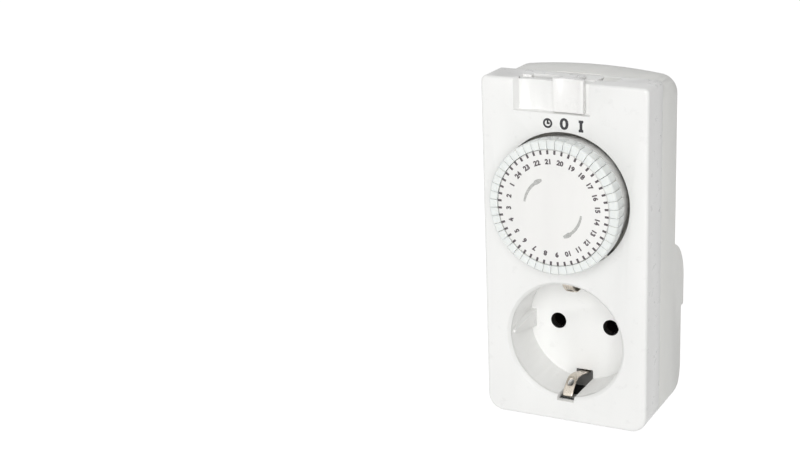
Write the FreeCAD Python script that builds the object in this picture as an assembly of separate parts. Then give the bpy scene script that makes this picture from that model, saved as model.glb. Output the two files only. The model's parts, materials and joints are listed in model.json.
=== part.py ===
import FreeCAD, Part
import math
import os

# Plug in timer switch: a mains adapter with a 24 hour tappet dial, a slide selector and an earthed round socket.
# Frame: origin on the axis of the plug and the socket, in the plane that meets the wall.
# +X is to the right as seen from the front, +Y goes into the wall, +Z is up. All sizes are in millimetres.

os.makedirs("parts", exist_ok=True)
V = FreeCAD.Vector

# Housing, outside
body_width = 56.8
axis_height = 28.5
body_depth = 37.3
cover_depth = 13.2
upper_depth = 27.5
seat_relief = 2.3
seat_low_z = 4.5
seat_high_z = 14.8
shoulder_radius = 15.0
heel_radius = 12.0
back_edge_radius = 1.3
front_edge_radius = 1.2
bottom_corner_radius = 5.5
cover_top_radius = 1.8
shell_top_radius = 6.0
shell_crown = 2.1
shell_rise = 0.3

# Housing, walls and joints
wall = 2.0
lip_height = 1.5
lip_thickness = 1.0
joint_clearance = 0.15
running_clearance = 0.3
screw_inset_x = 6.6
upper_screw_drop = 9.1
lower_screw_rise = 10.5
screw_radius = 1.3
screw_head_radius = 2.7
screw_head_height = 2.0
screw_post_radius = 3.0
counterbore_radius = 3.0
counterbore_wall = 1.2
head_seat = 10.0

# Program dial
dial_radius = 22.0
socket_to_dial = 2.7
dial_proud = 9.0
dial_hole_margin = 0.5
tappet_count = 48
tappet_head = 5.3
tappet_travel = 2.5
tappet_gap = 0.25
head_width = 2.9
shank_inset = 0.7
shank_width = 1.6
tail_width = 1.5
tail_depth = 1.2
face_thickness = 2.0
drum_wall = 1.3
skirt_wall = 0.7
floor_thickness = 2.0
slide_clearance = 0.2
hub_radius = 4.5
spindle_radius = 3.0
first_hour_angle = 155.0

# Gear train: the dial turns once a day and the motor once an hour
gear_module = 0.4
pressure_angle = 20.0
dial_teeth = 60
pinion_teeth = 10
wheel_teeth = 48
motor_teeth = 12
gear_thickness = 2.5
wheel_thickness = 1.5
flank_thinning = 0.03
gear_spacing = 0.4
axle_radius = 1.0
bearing_clearance = 0.05
wheel_direction = 45.0
motor_direction = 109.5

# Movement
plate_thickness = 2.0
plate_side_margin = 2.4
plate_reach_down = 17.5
plate_top_margin = 9.7
motor_radius = 12.0
motor_length = 11.0
motor_chamfer = 0.8
motor_ear_radius = 2.4
motor_ear_angle = -20.0
motor_ear_reach = 14.5
post_radius = 2.5
movement_screw_radius = 0.9

# Feeler and switch
lever_arm = 15.4
lever_width = 2.3
lever_thickness = 1.4
lever_hub_radius = 1.7
lever_pin_radius = 0.8
nose_height = 4.2
ear_thickness = 1.5
plunger_arm = 7.9
plunger_radius = 0.9
switch_width = 6.4
switch_length = 20.0
switch_depth = 10.0

# Selector
recess_left = -16.0
recess_right = 9.0
recess_drop = 10.4
dial_to_recess = 5.7
recess_depth = 4.2
recess_wall = 1.3
recess_floor = 1.8
scoop_depth = 0.8
knob_width = 10.3
knob_right = 6.7
knob_sink = 1.2
knob_dish = 1.1
knob_rise = 0.8
knob_travel = 11.4
bridge_height = 1.1
bridge_width = 6.2
stem_thickness = 1.8
cam_length = 15.0
cam_height = 3.4
notch_radius = 0.9
foot_width = 1.4
pad_width = 2.8
spring_half = 7.0
latch_width = 6.0
latch_length = 5.8

# Socket
socket_radius = 19.8
socket_depth = 17.5
rim_bevel = 1.0
cup_wall = 1.4
cup_floor = 2.3
flange_width = 2.1
flange_thickness = 1.2
pin_spacing = 19.0
pin_hole_radius = 2.8
rib_height = 2.2
rib_root = 3.2
rib_tip = 1.5
earth_slot_width = 6.0
earth_strip_width = 4.4
strip_thickness = 0.8
clip_bulge = 3.4
earth_tail = 3.6
busbar_drop = 8.8
busbar_width = 4.0
strip_riser_width = 1.3

# Plug
plug_radius = 18.4
plug_length = 17.0
plug_wall = 3.2
plug_face = 2.0
plug_chamfer = 1.0
seat_ring_radius = 22.0
plug_pin_radius = 2.4
plug_pin_length = 19.0
pin_root_step = 0.4
pin_tip_chamfer = 0.9
side_groove_width = 5.0
side_groove_depth = 2.4
sleeve_bore = 2.5
sleeve_wall = 0.8
sleeve_length = 10.0
sleeve_slit = 0.8
foot_inset = 4.5
foot_half = 2.8

# Places that follow from the sizes
bottom_z = -axis_height
half_width = body_width / 2
cup_outer = socket_radius + cup_wall
flange_radius = cup_outer + flange_width
dial_z = flange_radius + socket_to_dial + dial_radius + dial_hole_margin
recess_low_z = dial_z + dial_radius + dial_hole_margin + dial_to_recess
top_z = recess_low_z + recess_drop
plate_low = dial_z - plate_reach_down
plate_high = top_z - plate_top_margin
plate_right = half_width - wall - plate_side_margin
front_y = -body_depth
seam_y = front_y + cover_depth
upper_back_y = front_y + upper_depth
lower_back_y = -seat_relief
cover_inner_y = front_y + wall
shell_top_z = top_z + shell_rise
dial_face_y = front_y - dial_proud
pin_x = pin_spacing / 2

tappet_pitch = 360.0 / tappet_count
head_inner = dial_radius - head_width
face_radius = head_inner - slide_clearance
shank_inner = head_inner - shank_inset
shank_outer = shank_inner + shank_width
drum_outer = shank_inner - slide_clearance
drum_inner = drum_outer - drum_wall
skirt_inner = shank_outer + slide_clearance
skirt_outer = skirt_inner + skirt_wall
head_back_y = dial_face_y + tappet_head
skirt_front_y = head_back_y + tappet_travel + running_clearance
dial_floor_y = skirt_front_y + slide_clearance + floor_thickness
dial_back_y = dial_floor_y + floor_thickness
tail_middle = (shank_inner + shank_outer) / 2

dial_gear_y = dial_back_y + slide_clearance
wheel_y = dial_gear_y + gear_thickness + gear_spacing
plate_y = wheel_y + wheel_thickness + 1.4
plate_back_y = plate_y + plate_thickness
motor_y = plate_back_y + slide_clearance


def on_circle(x, z, radius, angle):
    turn = math.radians(angle)
    return x + radius * math.cos(turn), z + radius * math.sin(turn)


def pitch_radius(teeth):
    return gear_module * teeth / 2


wheel_x, wheel_z = on_circle(0, dial_z, pitch_radius(dial_teeth + pinion_teeth), wheel_direction)
motor_x, motor_z = on_circle(wheel_x, wheel_z, pitch_radius(wheel_teeth + motor_teeth), motor_direction)

hour_pitch = 2 * tappet_pitch
feeler_angle = first_hour_angle + 1.5 * hour_pitch
nose_x, nose_z = on_circle(0, dial_z, tail_middle, feeler_angle)
lever_pin_z = nose_z - lever_arm
lever_y = dial_back_y + tappet_travel + 0.4
lever_pin_y = lever_y + lever_thickness / 2
plunger_z = lever_pin_z + plunger_arm
switch_y = lever_y + lever_thickness + tappet_travel + 0.7
switch_z = lever_pin_z + 3.0
plate_left = nose_x + switch_width / 2 + running_clearance
strip_plane_y = upper_back_y - wall - running_clearance - strip_thickness

recess_floor_y = front_y + recess_depth
recess_back_y = recess_floor_y + recess_floor
knob_left = knob_right - knob_width
knob_middle = (knob_left + knob_right) / 2
knob_step = knob_travel / 2
knob_front_y = front_y + knob_sink
knob_back_y = recess_floor_y - running_clearance
knob_top_z = top_z + knob_rise
stem_y = recess_back_y + running_clearance
stem_back_y = stem_y + stem_thickness
cam_low_z = plate_high - 0.6

cup_front_y = cover_inner_y + 0.1
cup_floor_y = front_y + socket_depth
cup_back_y = cup_floor_y + cup_floor
earth_tail_y = cup_back_y + earth_tail
screw_x = half_width - screw_inset_x
upper_screw_z = top_z - upper_screw_drop
lower_screw_z = bottom_z + lower_screw_rise
plug_inner = plug_radius - plug_wall
plug_inner_y = plug_length - plug_face


def block(x0, x1, y0, y1, z0, z1):
    return Part.makeBox(x1 - x0, y1 - y0, z1 - z0, V(x0, y0, z0))


def rod(radius, y0, y1, x=0.0, z=0.0):
    return Part.makeCylinder(radius, y1 - y0, V(x, y0, z), V(0, 1, 0))


def tube(inner, outer, y0, y1, x=0.0, z=0.0):
    return rod(outer, y0, y1, x, z).cut(rod(inner, y0 - 1, y1 + 1, x, z))


def closed_face(points):
    return Part.Face(Part.makePolygon(points + points[:1]))


def plan_prism(points, y0, y1):
    face = closed_face([V(x, y0, z) for x, z in points])
    return face.extrude(V(0, y1 - y0, 0))


def side_prism(points, x0, x1):
    face = closed_face([V(x0, y, z) for y, z in points])
    return face.extrude(V(x1 - x0, 0, 0))


def turned(points, x=0.0, z=0.0):
    face = closed_face([V(x + radius, y, z) for radius, y in points])
    return face.revolve(V(x, 0, z), V(0, 1, 0), 360)


def joined(shapes):
    return shapes[0].multiFuse(shapes[1:]).removeSplitter()


def edges_along_y(shape, low_z, high_z):
    found = []
    for edge in shape.Edges:
        ends = [vertex.Point for vertex in edge.Vertexes]
        if len(ends) == 2 and (ends[1] - ends[0]).getAngle(V(0, 1, 0)) in (0.0, math.pi):
            if low_z < ends[0].z < high_z:
                found.append(edge)
    return found


def body_outline(inset, y0, y1, side_top, crown, top_radius):
    """Prism with the front view of the housing, drawn in by inset."""
    half = half_width - inset
    low = bottom_z + inset
    corners = [V(-half, y0, side_top), V(-half, y0, low), V(half, y0, low), V(half, y0, side_top)]
    lines = [Part.makeLine(corners[i], corners[i + 1]) for i in range(3)]
    crest = Part.Arc(corners[3], V(0, y0, side_top + crown), corners[0])
    prism = Part.Face(Part.Wire(lines + [crest.toShape()])).extrude(V(0, y1 - y0, 0))
    middle = (low + side_top) / 2
    prism = prism.makeFillet(bottom_corner_radius - inset, edges_along_y(prism, low - 1, middle))
    return prism.makeFillet(max(top_radius - inset, 0.4), edges_along_y(prism, middle, side_top + 1))


def cover_outline(inset, y0, y1):
    slight_crown = 0.05
    return body_outline(inset, y0, y1, top_z - slight_crown - inset, slight_crown, cover_top_radius)


def shell_outline(inset, y0, y1):
    side_top = shell_top_z - shell_crown - inset
    return body_outline(inset, y0, y1, side_top, shell_crown, shell_top_radius)


def shell_profile(inset):
    """Prism with the side view of the rear shell: upper back, shoulder, seat, step and rounded heel."""
    reach = body_width
    back = upper_back_y - inset
    arc_radius = shoulder_radius - inset
    rise = math.sqrt(arc_radius**2 - (back + shoulder_radius) ** 2)
    blend = V(-reach, back, seat_high_z + rise)
    seat_top = V(-reach, -inset, seat_high_z)
    seat_low = V(-reach, -inset, seat_low_z + inset)
    step_low = V(-reach, lower_back_y - inset, seat_low_z + inset)
    heel_z = bottom_z + heel_radius
    heel_y = lower_back_y - heel_radius
    heel_top = V(-reach, lower_back_y - inset, heel_z)
    heel_low = V(-reach, heel_y, bottom_z + inset)
    half_turn = math.radians(45)
    heel_span = heel_radius - inset
    heel_middle = V(
        -reach,
        heel_y + heel_span * math.cos(half_turn),
        heel_z - heel_span * math.sin(half_turn),
    )
    bend = math.atan2(rise, back + shoulder_radius) / 2
    arc_middle = V(
        -reach,
        arc_radius * math.cos(bend) - shoulder_radius,
        seat_high_z + arc_radius * math.sin(bend),
    )
    above = shell_top_z + 10
    front = seam_y - 10
    edges = [
        Part.makeLine(V(-reach, front, above), V(-reach, back, above)),
        Part.makeLine(V(-reach, back, above), blend),
        Part.Arc(blend, arc_middle, seat_top).toShape(),
        Part.makeLine(seat_top, seat_low),
        Part.makeLine(seat_low, step_low),
        Part.makeLine(step_low, heel_top),
        Part.Arc(heel_top, heel_middle, heel_low).toShape(),
        Part.makeLine(heel_low, V(-reach, front, bottom_z + inset)),
        Part.makeLine(V(-reach, front, bottom_z + inset), V(-reach, front, above)),
    ]
    return Part.Face(Part.Wire(edges)).extrude(V(2 * reach, 0, 0))


def screw_places():
    return [(side * screw_x, z) for side in (-1, 1) for z in (lower_screw_z, upper_screw_z)]


def dial_copy(shape, angle):
    """Turns a shape drawn along +X from the dial's centre to an angle counted from +X towards +Z."""
    turned_shape = shape.copy()
    turned_shape.rotate(V(0, 0, dial_z), V(0, 1, 0), -angle)
    return turned_shape


def front_cover():
    outer = cover_outline(0, front_y, seam_y)
    rim = [edge for edge in outer.Edges if all(abs(v.Y - front_y) < 0.001 for v in edge.Vertexes)]
    outer = outer.makeFillet(front_edge_radius, rim)
    cover = outer.cut(cover_outline(wall, cover_inner_y, seam_y + 1))
    pocket = block(
        recess_left - recess_wall,
        recess_right + recess_wall,
        front_y + front_edge_radius,
        recess_back_y,
        recess_low_z - recess_wall,
        top_z - wall / 2,
    )
    posts = [
        rod(screw_post_radius, cover_inner_y - 0.5, seam_y - lip_height - running_clearance, x, z)
        for x, z in screw_places()
    ]
    cover = joined([cover, pocket] + posts)
    recess = block(recess_left, recess_right, front_y - 1, recess_floor_y, recess_low_z, top_z + 1)
    scoop_width = knob_left - recess_left
    scoop_radius = (scoop_width**2 / 4 + scoop_depth**2) / (2 * scoop_depth)
    scoop = Part.makeCylinder(
        scoop_radius,
        recess_drop + 1,
        V(recess_left + scoop_width / 2, recess_floor_y + scoop_depth - scoop_radius, recess_low_z),
        V(0, 0, 1),
    ).common(block(recess_left, knob_left, front_y, recess_back_y, recess_low_z, top_z + 1))
    floor_lip = block(
        recess_left, recess_right, recess_floor_y - 1, recess_back_y + 0.1, top_z - 0.7, top_z + 1
    )
    stem_slot = block(
        knob_middle - bridge_width / 2 - knob_travel - running_clearance,
        knob_middle + bridge_width / 2 + running_clearance,
        recess_back_y,
        stem_back_y + running_clearance,
        top_z - wall - 1,
        top_z + 1,
    )
    latch_window = block(
        recess_right + 0.2,
        recess_right + 0.2 + latch_width,
        recess_back_y + 0.2,
        recess_back_y + 0.2 + latch_length,
        top_z - wall - 1,
        top_z + 1,
    )
    bevel = turned(
        [
            (0, front_y - 1),
            (socket_radius + rim_bevel + 1, front_y - 1),
            (socket_radius, front_y + rim_bevel),
            (socket_radius, seam_y),
            (0, seam_y),
        ]
    )
    dial_hole = rod(dial_radius + dial_hole_margin, front_y - 1, cover_inner_y + 1, 0, dial_z)
    pilots = [
        rod(screw_radius + bearing_clearance, cover_inner_y + 0.5, seam_y, x, z) for x, z in screw_places()
    ]
    for cutter in [recess, scoop, floor_lip, stem_slot, latch_window, bevel, dial_hole] + pilots:
        cover = cover.cut(cutter)
    return cover


def rear_shell():
    outer = shell_outline(0, seam_y, 0.0).common(shell_profile(0))
    inner = shell_outline(wall, seam_y - 1, 0.0).common(shell_profile(wall))
    lip = cover_outline(wall + joint_clearance, seam_y - lip_height, seam_y + wall)
    lip = lip.cut(cover_outline(wall + joint_clearance + lip_thickness, seam_y - wall, seam_y + 2 * wall))
    lip = lip.common(block(-half_width, half_width, seam_y - 5, seam_y + 5, bottom_z, top_z))
    seat_ring = rod(seat_ring_radius, lower_back_y - wall / 2, 0)
    boss = turned(
        [
            (0, lower_back_y - wall / 2),
            (plug_radius, lower_back_y - wall / 2),
            (plug_radius, plug_length - plug_chamfer),
            (plug_radius - plug_chamfer, plug_length),
            (0, plug_length),
        ]
    )
    hollow = rod(plug_inner, -body_depth, plug_inner_y)
    seats = [
        rod(counterbore_radius + counterbore_wall, seam_y + 1, -1, x, z).common(outer)
        for x, z in screw_places()
    ]
    plate_posts = [
        rod(post_radius, plate_back_y, upper_back_y - wall / 2, x, z) for x, z in post_places()
    ]
    switch_seat = block(
        nose_x - switch_width / 2,
        nose_x + switch_width / 2,
        switch_y + switch_depth + slide_clearance,
        upper_back_y - wall / 2,
        switch_z + 2,
        switch_z + switch_length - 2,
    )
    tongue_left = recess_right + 0.6
    tongue_right = recess_right + latch_width - 0.2
    tongue_top = top_z - wall - slide_clearance
    tongue_tip = recess_back_y + 0.6
    latch = side_prism(
        [
            (seam_y + 6, tongue_top),
            (seam_y + 6, tongue_top - 1.5),
            (tongue_tip, tongue_top - 1.5),
            (tongue_tip, tongue_top + 0.1),
            (tongue_tip + latch_length - 0.9, top_z - 0.1),
            (tongue_tip + latch_length - 0.9, tongue_top),
        ],
        tongue_left,
        tongue_right,
    )
    shell = joined([outer.cut(inner), lip, seat_ring, boss, latch, switch_seat] + seats + plate_posts)
    shell = shell.cut(hollow)
    grooves = [
        block(
            side * plug_radius - side_groove_depth,
            side * plug_radius + side_groove_depth,
            0,
            plug_length + 1,
            -side_groove_width / 2,
            side_groove_width / 2,
        )
        for side in (-1, 1)
    ]
    earth_width = earth_strip_width / 2 + slide_clearance
    earth_slots = [
        block(
            -earth_width,
            earth_width,
            lower_back_y - 3 * wall,
            plug_length - plug_chamfer,
            side * plug_radius - strip_thickness - slide_clearance,
            side * plug_radius + strip_thickness + slide_clearance,
        )
        for side in (-1, 1)
    ]
    pin_holes = [
        rod(plug_pin_radius + pin_root_step + bearing_clearance, 0, plug_length + 1, side * pin_x, 0)
        for side in (-1, 1)
    ]
    screw_holes = []
    for x, z in screw_places():
        screw_holes.append(rod(screw_radius + slide_clearance, seam_y - 5, 1, x, z))
        screw_holes.append(rod(counterbore_radius, seam_y + head_seat - screw_head_height, 1, x, z))
    movement_holes = [
        rod(movement_screw_radius + bearing_clearance, plate_back_y - 1, plate_back_y + 6, x, z)
        for x, z in post_places()
    ]
    for cutter in grooves + earth_slots + pin_holes + screw_holes + movement_holes:
        shell = shell.cut(cutter)
    return shell


def socket_insert():
    cup = turned(
        [
            (0, cup_floor_y),
            (socket_radius, cup_floor_y),
            (socket_radius, cup_front_y),
            (flange_radius, cup_front_y),
            (flange_radius, cup_front_y + flange_thickness),
            (cup_outer, cup_front_y + flange_thickness),
            (cup_outer, cup_back_y),
            (0, cup_back_y),
        ]
    )
    rib = side_prism(
        [
            (cup_floor_y + 0.5, -rib_root),
            (cup_floor_y + 0.5, rib_root),
            (cup_front_y + 1, rib_tip),
            (cup_front_y + 1, -rib_tip),
        ],
        socket_radius - rib_height,
        socket_radius + cup_wall / 2,
    )
    mirrored = rib.mirror(V(0, 0, 0), V(1, 0, 0))
    cup = joined([cup, rib, mirrored])
    half_slot = earth_slot_width / 2
    for side in (-1, 1):
        cup = cup.cut(rod(pin_hole_radius, cup_floor_y - 1, cup_back_y + 1, side * pin_x, 0))
        near, far = sorted((side * (socket_radius - clip_bulge + 0.2), side * (cup_outer + 1)))
        cup = cup.cut(block(-half_slot, half_slot, cup_floor_y - 1, cup_back_y + 1, near, far))
        near, far = sorted((side * (socket_radius - 1), side * (cup_outer + 1)))
        slot_front = cup_front_y + flange_thickness + 0.6
        cup = cup.cut(block(-half_slot, half_slot, slot_front, cup_back_y + 1, near, far))
    return cup


def strip_along(points, half):
    """A bent strip: its centre line is given as (y, z) points and its width runs along X."""
    upper = []
    lower = []
    for i, (y, z) in enumerate(points):
        before = points[max(i - 1, 0)]
        after = points[min(i + 1, len(points) - 1)]
        run_y = after[0] - before[0]
        run_z = after[1] - before[1]
        length = math.hypot(run_y, run_z)
        step_y = -run_z / length * strip_thickness / 2
        step_z = run_y / length * strip_thickness / 2
        upper.append((y + step_y, z + step_z))
        lower.append((y - step_y, z - step_z))
    return side_prism(upper + lower[::-1], -half, half)


def earth_clip(side):
    """Spring strip that leaves the floor slot, bows towards the axis and ends in the wall slot."""
    root = socket_radius - 1.4
    reach = socket_depth - wall - flange_thickness
    points = [
        (earth_tail_y - 0.1, root),
        (cup_floor_y, root),
        (cup_floor_y - reach * 0.30, root - clip_bulge * 0.30),
        (cup_floor_y - reach * 0.52, root - clip_bulge * 0.56),
        (cup_floor_y - reach * 0.66, root - clip_bulge * 0.50),
        (cup_floor_y - reach * 0.90, root + 1.2),
    ]
    clip = strip_along(points, earth_strip_width / 2)
    if side < 0:
        clip = clip.mirror(V(0, 0, 0), V(0, 0, 1))
    return clip


def earth_bridge():
    y = earth_tail_y + bearing_clearance
    reach = plug_radius - strip_thickness - bearing_clearance
    half = earth_strip_width / 2
    return block(-half, half, y, y + strip_thickness, -reach, reach)


def plug_earth_strip(side):
    half = earth_strip_width / 2
    outer = plug_radius
    strip = block(
        -half,
        half,
        earth_tail_y,
        plug_length - plug_chamfer - slide_clearance,
        outer - strip_thickness,
        outer,
    )
    if side < 0:
        strip = strip.mirror(V(0, 0, 0), V(0, 0, 1))
    return strip


def plug_pin(side):
    tip = plug_length + plug_pin_length
    head_back = plug_inner_y - bearing_clearance
    root_radius = plug_pin_radius + pin_root_step
    return turned(
        [
            (0, head_back - 5),
            (plug_pin_radius * 0.8, head_back - 5),
            (plug_pin_radius * 0.8, head_back - 1.6),
            (plug_pin_radius + 1.4, head_back - 1.6),
            (plug_pin_radius + 1.4, head_back),
            (root_radius, head_back),
            (root_radius, plug_length),
            (plug_pin_radius, plug_length),
            (plug_pin_radius, tip - pin_tip_chamfer),
            (plug_pin_radius - pin_tip_chamfer, tip),
            (0, tip),
        ],
        side * pin_x,
    )


def contact_sleeve(side):
    start = cup_back_y + slide_clearance
    x = side * pin_x
    sleeve = tube(sleeve_bore, sleeve_bore + sleeve_wall, start, start + sleeve_length, x, 0)
    half = sleeve_slit / 2
    reach = sleeve_bore * 2
    slit = block(x - half, x + half, start - 1, start + sleeve_length * 0.7, -reach, reach)
    return sleeve.cut(slit)


def pin_foot(side, y):
    """Terminal plate that sits round the tail of a plug pin."""
    outward = pin_x + sleeve_bore + 2 * sleeve_wall
    near, far = sorted((side * (pin_x - foot_half), side * outward))
    plate = block(near, far, y, y + strip_thickness, -foot_half, foot_half)
    return plate.cut(rod(plug_pin_radius * 0.8 + bearing_clearance, y - 1, y + 2, side * pin_x, 0))


def neutral_busbar():
    y = plug_inner_y - foot_inset
    sleeve_edge = pin_x + sleeve_bore + sleeve_wall
    outer_edge = sleeve_edge + strip_thickness
    leg_front = cup_back_y + sleeve_length - 3
    half = busbar_width / 2
    leg = block(sleeve_edge, outer_edge, leg_front, y + 0.1, -half, half)
    return joined([pin_foot(1, y), leg])


def live_busbar():
    """From the left plug pin down past the sleeve, out to the left wall and up to the foot of the switch."""
    foot_y = plug_inner_y - foot_inset
    front = strip_plane_y
    back = strip_plane_y + strip_thickness
    half = busbar_width / 2
    left = nose_x - half
    right = half - pin_x
    low = -busbar_drop
    foot_top = switch_z - 1.2
    terminal_y = switch_y + switch_depth - 3
    pieces = [
        pin_foot(-1, foot_y),
        block(-pin_x - half, right, foot_y, foot_y + strip_thickness, low, -2.0),
        block(-pin_x - half, right, front, foot_y + strip_thickness, low, low + strip_thickness),
        block(left, right, front, back, low, low + busbar_width),
        block(left, nose_x + half, front, back, low, foot_top),
        block(left, nose_x + half, terminal_y, back, foot_top - strip_thickness, foot_top),
        block(left, nose_x + half, terminal_y, terminal_y + strip_thickness, foot_top - 0.1, switch_z - 0.1),
    ]
    return joined(pieces)


def switched_busbar():
    """From the left contact sleeve to the side of the switch."""
    front = strip_plane_y
    back = strip_plane_y + strip_thickness
    half = busbar_width / 2
    column = nose_x + switch_width / 2 + 0.1
    high = switch_z + switch_length - 4
    across = block(column, -pin_x - sleeve_bore - sleeve_wall, front, back, -half, half)
    upright = block(column, column + strip_riser_width, front, back, -half, high)
    terminal_y = switch_y + switch_depth - 3
    tab = block(column, column + strip_thickness, terminal_y, back, high - busbar_width, high)
    return joined([across, upright, tab])


def post_places():
    return [
        (plate_left + 4, plate_low + 5),
        (plate_right - 4, plate_low + 5),
        (plate_left + 3, plate_high - 6.4),
    ]


def cross_rod(radius, half):
    """Cylinder on the lever's pivot, which runs along X."""
    return Part.makeCylinder(radius, 2 * half, V(nose_x - half, lever_pin_y, lever_pin_z), V(1, 0, 0))


def lever_ear(x):
    low = lever_pin_z - lever_hub_radius
    high = lever_pin_z + lever_hub_radius
    return block(x, x + ear_thickness, lever_pin_y - lever_hub_radius, plate_y + 0.5, low, high)


def motor_ears():
    return [
        on_circle(motor_x, motor_z, motor_ear_reach, motor_ear_angle),
        on_circle(motor_x, motor_z, motor_ear_reach, motor_ear_angle + 180),
    ]


def movement_plate():
    half_lever = lever_width / 2 + 0.7
    plate = block(plate_left, plate_right, plate_y, plate_back_y, plate_low, plate_high)
    top_step = block(
        recess_left - 2, recess_right, plate_y, plate_back_y, plate_high - 1, top_z - wall - 1.1
    )
    arm = block(
        nose_x - half_lever - ear_thickness,
        plate_left + 1,
        plate_y,
        plate_back_y,
        lever_pin_z - lever_hub_radius - 1,
        lever_pin_z + lever_hub_radius,
    )
    bearing = rod(spindle_radius + 2, plate_y, plate_back_y + 2, 0, dial_z)
    ears = [lever_ear(nose_x - half_lever - ear_thickness), lever_ear(nose_x + half_lever)]
    plate = joined([plate, top_step, arm, bearing] + ears)
    cutters = [
        rod(spindle_radius + bearing_clearance, plate_y - 1, plate_back_y + 3, 0, dial_z),
        rod(pitch_radius(motor_teeth) + 1, plate_y - 1, plate_back_y + 1, motor_x, motor_z),
        rod(axle_radius, plate_y - 1, plate_back_y + 1, wheel_x, wheel_z),
        cross_rod(lever_pin_radius, switch_width),
    ]
    for x, z in post_places() + motor_ears():
        cutters.append(rod(movement_screw_radius + bearing_clearance, plate_y - 1, plate_back_y + 1, x, z))
    for x, z in screw_places():
        cutters.append(rod(screw_post_radius + running_clearance, plate_y - 1, plate_back_y + 1, x, z))
    for cutter in cutters:
        plate = plate.cut(cutter)
    return plate


def small_screw(x, z, head_y, length):
    head = rod(movement_screw_radius * 1.9, head_y - 1.2, head_y, x, z)
    shank = rod(movement_screw_radius, head_y - 0.1, head_y + length, x, z)
    slot = block(x - 2, x + 2, head_y - 1.3, head_y - 0.7, z - 0.25, z + 0.25)
    return joined([head, shank]).cut(slot)


def movement_screws():
    return Part.Compound([small_screw(x, z, plate_y, plate_thickness + 5) for x, z in post_places()])


def motor_screws():
    return Part.Compound([small_screw(x, z, plate_y, plate_thickness + 0.9) for x, z in motor_ears()])


def synchronous_motor():
    can = rod(motor_radius, motor_y, motor_y + motor_length, motor_x, motor_z)
    rims = [edge for edge in can.Edges if edge.isClosed()]
    can = can.makeChamfer(motor_chamfer, rims)
    nose = rod(2.2, motor_y - 0.1, motor_y + 1, motor_x, motor_z)
    ears = []
    for x, z in motor_ears():
        ears.append(rod(motor_ear_radius, motor_y, motor_y + 0.8, x, z))
    ear_back_y = motor_y + 0.8
    ear_bar = block(
        -motor_ear_reach, motor_ear_reach, motor_y, ear_back_y, -motor_ear_radius, motor_ear_radius
    )
    ear_bar.rotate(V(0, 0, 0), V(0, 1, 0), -motor_ear_angle)
    ear_bar.translate(V(motor_x, 0, motor_z))
    body = joined([can, nose, ear_bar] + ears)
    body = body.cut(rod(axle_radius + bearing_clearance, motor_y - 1, motor_y + 4, motor_x, motor_z))
    for x, z in motor_ears():
        body = body.cut(rod(movement_screw_radius + bearing_clearance, motor_y - 1, motor_y + 2, x, z))
    return body


def involute(angle):
    return math.tan(angle) - angle


def gear(teeth, y0, y1, x, z, tooth_angle):
    """Spur gear with three points on each involute flank and one tooth at tooth_angle."""
    pitch = pitch_radius(teeth)
    slope = math.radians(pressure_angle)
    base = pitch * math.cos(slope)
    root = pitch - 1.25 * gear_module
    tip = pitch + 0.95 * gear_module

    def half_angle(radius):
        opening = math.acos(min(1.0, base / radius))
        return math.pi / (2 * teeth) + involute(slope) - involute(opening) - flank_thinning / pitch

    flank = [(root, half_angle(max(root, base))), (pitch, half_angle(pitch)), (tip, half_angle(tip))]
    points = []
    for tooth in range(teeth):
        middle = math.radians(tooth_angle) + 2 * math.pi * tooth / teeth
        for radius, half in flank:
            points.append((x + radius * math.cos(middle - half), z + radius * math.sin(middle - half)))
        for radius, half in reversed(flank):
            points.append((x + radius * math.cos(middle + half), z + radius * math.sin(middle + half)))
    return plan_prism(points, y0, y1)


def dial_gear():
    blank = gear(dial_teeth, dial_gear_y, dial_gear_y + gear_thickness, 0, dial_z, wheel_direction)
    return blank.cut(rod(spindle_radius + bearing_clearance / 2, dial_gear_y - 1, dial_gear_y + 4, 0, dial_z))


def reduction_gear():
    pinion_phase = wheel_direction + 180 + 180 / pinion_teeth
    pinion = gear(pinion_teeth, dial_gear_y, wheel_y + 0.1, wheel_x, wheel_z, pinion_phase)
    wheel = gear(wheel_teeth, wheel_y, wheel_y + wheel_thickness, wheel_x, wheel_z, motor_direction)
    blank = joined([pinion, wheel])
    return blank.cut(rod(axle_radius + bearing_clearance, dial_gear_y - 1, wheel_y + 3, wheel_x, wheel_z))


def motor_pinion():
    phase = motor_direction + 180 + 180 / motor_teeth
    pinion = gear(motor_teeth, wheel_y - 0.2, wheel_y + wheel_thickness + 0.2, motor_x, motor_z, phase)
    shaft = rod(axle_radius, wheel_y - 0.2, motor_y + 3, motor_x, motor_z)
    return joined([pinion, shaft])


def reduction_axle():
    front = dial_gear_y - 1.0
    axle = rod(axle_radius, front, plate_back_y, wheel_x, wheel_z)
    head = rod(axle_radius + 0.8, front, dial_gear_y - running_clearance, wheel_x, wheel_z)
    return joined([axle, head])


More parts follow.
